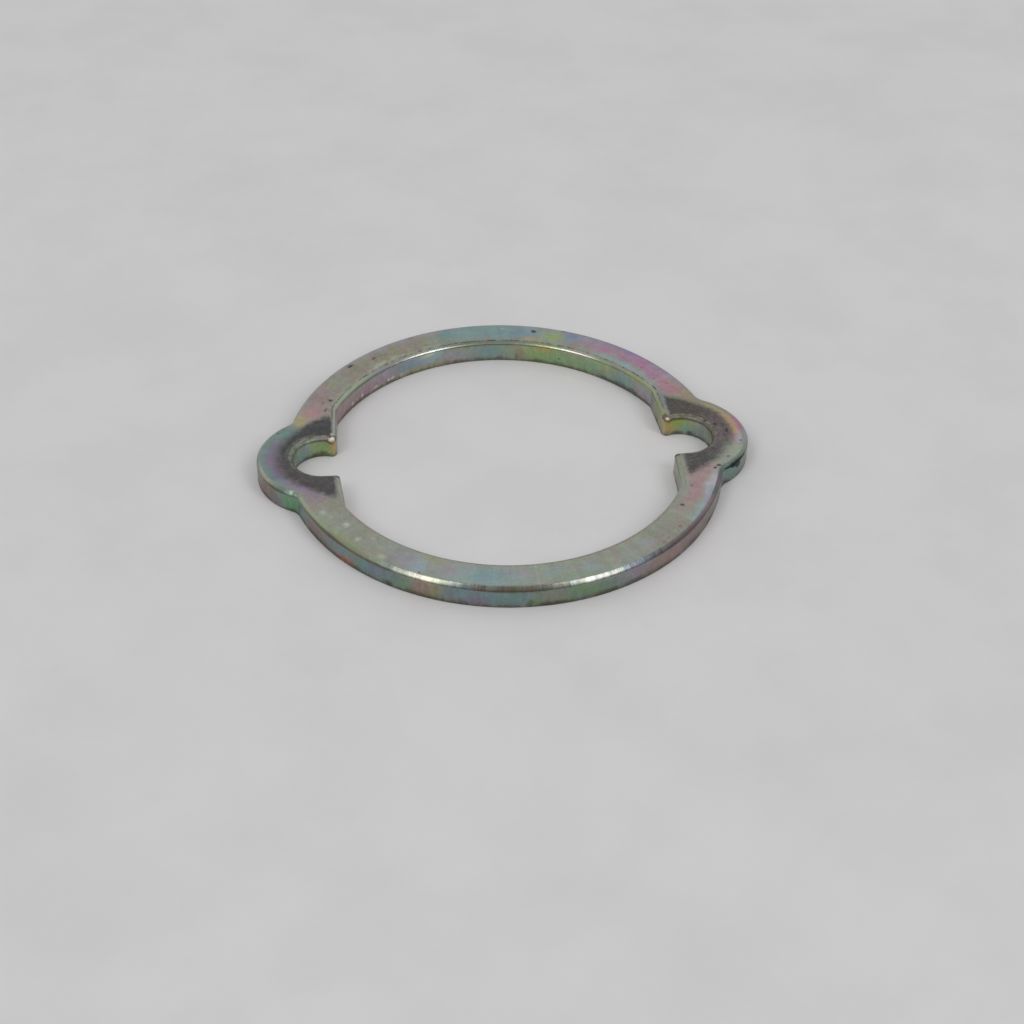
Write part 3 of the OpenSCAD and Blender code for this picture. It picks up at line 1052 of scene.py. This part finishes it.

# Dark lines are laid where the rolled edges begin, and the walls are darker towards their torn foot. Under
# each rolled edge a painted dark line stands in for a dark reflection.
seam = sheet.ease(rounding, 0.0, 0.10) * sheet.ease(rounding, 0.34, 0.14)
broken = sheet.ease(sheet.noise(spot, 1.2, 3, 0.7), 0.36, 0.58)
broken = broken * sheet.ease(sheet.noise(track, 3.2, 2), 0.40, 0.55, 0.55, 1.0)
ragged_z = spot_z + (tears - 0.5) * 0.7 + (sheet.noise(spot, 0.45, 3) - 0.5) * 1.6
foot = sheet.ease(ragged_z, 0.65, 0.10) * sheet.ease(normal_z, 0.8, 0.5)
behind_hole = sheet.ease(spot_y, 2.0, 9.0, 0.25, 1.0)
dark_lines_and_painted_reflection = seam * broken * behind_hole * (1 - on_outside) * 0.85 + foot * 0.55
# A dark line painted under each rolled edge: a painted dark reflection.
painted_dark_reflection_line = sheet.ease(rounding, 0.6, 0.88) * sheet.ease(rounding, 1.0, 0.9) * (0.4 + 0.6 * on_outside)
dark_lines_and_painted_reflection = dark_lines_and_painted_reflection + painted_dark_reflection_line * (0.5 - 0.2 * on_outside)
colour = sheet.blend(dark_lines_and_painted_reflection.math("MINIMUM", dark_lines_and_painted_reflection, 1.0), colour, (0.07, 0.062, 0.045, 1))

# Loose dirt lies in smudges on a few parts of the face.
smudges = sheet.ease(sheet.noise(spot, 2.6, 4, 0.75), 0.50, 0.64)
for smudge in ((150, 21.6, 7, 1.3), (128, 22.2, 14, 0.9), (112, 21.2, 14, 0.7), (312, 22.9, 8, 0.9)):
    near = oval(sheet, face_near, *on_ring(*smudge), 0.65, 0.3)
    colour = sheet.blend(near * smudges * on_face, colour, (*brown, 1))

# Specks: a scatter of small ones, and the larger ones listed one by one.
sockets = {"Vector": ragged_spot, "Scale": 0.8}
speck_distance = sheet.node("ShaderNodeTexVoronoi", sockets=sockets, output=0)
speck_pick = sheet.axes(sheet.node("ShaderNodeTexVoronoi", sockets=sockets, output=1))[0]
speck = sheet.ease(speck_distance + (1 - speck_pick) * 0.35, 0.16, 0.08)
colour = sheet.blend(speck * 0.7, colour, (0.05, 0.045, 0.04, 1))
colour = ring_zones(sheet, colour, face_ragged, [
    (133.7, 23.1, 1.5, 0.32, charcoal, 0.95),
    (126.0, 22.3, 1.2, 0.28, charcoal, 0.75),
    (151.3, 21.2, 0.9, 0.40, soot, 0.85),
    (153.5, 21.8, 1.2, 0.30, brown, 0.8),
    (156.5, 21.0, 1.6, 0.20, charcoal, 0.7),
    (74.2, 22.6, 1.2, 0.42, charcoal, 1.0),
    (65.5, 23.6, 0.9, 0.25, charcoal, 0.7),
    (36.5, 21.9, 0.5, 0.18, charcoal, 0.7),
    (324.5, 21.4, 0.9, 0.35, charcoal, 0.9),
    (316.0, 22.9, 1.0, 0.30, brown, 0.8),
    (308.0, 23.2, 0.8, 0.25, brown, 0.8),
    (334.0, 21.2, 0.9, 0.30, brown, 0.9),
], core=0.3)
colour = block_zones(sheet, colour, ragged_spot, [
    (23.85, 1.35, 2.6, 0.32, 0.36, 1.0, black, 0.85),
    (24.9, 0.1, 2.6, 0.20, 0.45, 1.0, black, 0.90),
    (23.0, 2.1, 2.6, 0.25, 0.20, 1.0, soot, 0.8),
    (26.1, -1.9, 2.6, 0.24, 0.20, 1.0, black, 0.80),
    (24.1, -4.6, 2.6, 0.26, 0.18, 1.0, black, 0.75),
    (22.7, -6.1, 2.6, 0.42, 0.24, 1.0, (0.02, 0.04, 0.04), 0.95),
    (22.2, -6.5, 2.6, 0.30, 0.30, 1.0, (0.02, 0.04, 0.04), 0.90),
    (-24.7, 4.5, 2.6, 0.25, 0.20, 1.0, charcoal, 0.7),
    # A pale painted highlight above the upper corner of the left mouth.
    (-18.75, 3.85, 2.45, 0.30, 0.34, 0.4, (0.62, 0.64, 0.58), 0.8),
], core=0.25)
colour = block_zones(sheet, colour, near_spot, [
    (24.9, -5.2, 2.12, 2.6, 2.2, 0.18, (0.02, 0.05, 0.035), 0.9),
    (25.2, -5.0, 1.70, 0.60, 0.60, 0.42, black, 1.0),
    (24.6, -5.6, 1.95, 0.60, 0.60, 0.22, black, 1.0),
], core=0.7)

# Pale blurred spots are painted on the face, most of them on its left: painted highlights.
colour = ring_zones(sheet, colour, face_near, [
    (205.5, 22.7, 1.4, 0.55, (0.62, 0.66, 0.56), 0.60),
    (208.2, 22.3, 0.9, 0.40, (0.60, 0.64, 0.54), 0.45),
    (213.6, 21.8, 1.4, 0.50, (0.68, 0.70, 0.60), 0.70),
    (220.3, 22.5, 1.2, 0.55, (0.66, 0.70, 0.54), 0.70),
    (223.0, 21.3, 1.4, 0.35, (0.58, 0.62, 0.42), 0.50),
    (229.5, 23.0, 1.6, 0.45, (0.60, 0.64, 0.50), 0.60),
    (83.5, 22.9, 1.0, 0.25, (0.62, 0.68, 0.60), 0.50),
], core=0.1)

# The stain is a dull crust, the rolled edges are burnished, and the face lies between.
dullness = 0.34 + (fine_cloud - 0.5) * 0.25 + stained * 0.25 + dark_lines_and_painted_reflection * 0.2 + speck * 0.2
dullness = dullness - on_roll * 0.08 + lip * 0.25 + glint * 0.1
bump_height = 0.04 * mm
bumps = (sheet.noise(spot, 2.6, 4, 0.6) * 0.6 + grain * 0.4) * sheet.ease(rounding, 0.0, 0.5, 1.0, 0.2)
bump = sheet.node("ShaderNodeBump", sockets={"Strength": 0.35, "Distance": bump_height, "Height": bumps})
feed(sheet, shader, {
    "Base Color": colour,
    "Metallic": 1 - stained * 0.6 - speck * 0.4,
    "Roughness": dullness,
    "Normal": bump,
})

# The press stamps a blank with all this, and its plain mesh is the washer.
blank = bpy.data.objects.new("washer_blank", bpy.data.meshes.new("washer_blank"))
scene.collection.objects.link(blank)
press = blank.modifiers.new("press", "NODES")
press.node_group = washer_tree
for item in washer_tree.interface.items_tree:
    if item.in_out == "INPUT" and item.name in washer_inputs:
        press[item.identifier] = washer_inputs[item.name]
    elif item.in_out == "INPUT" and item.name == "Finish":
        press[item.identifier] = finish
ready = blank.evaluated_get(bpy.context.evaluated_depsgraph_get())
washer_mesh = bpy.data.meshes.new_from_object(ready)
washer = bpy.data.objects.new("zinc_washer", washer_mesh)
scene.collection.objects.link(washer)
bpy.data.objects.remove(blank)
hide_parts("washer")
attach(washer, "root")
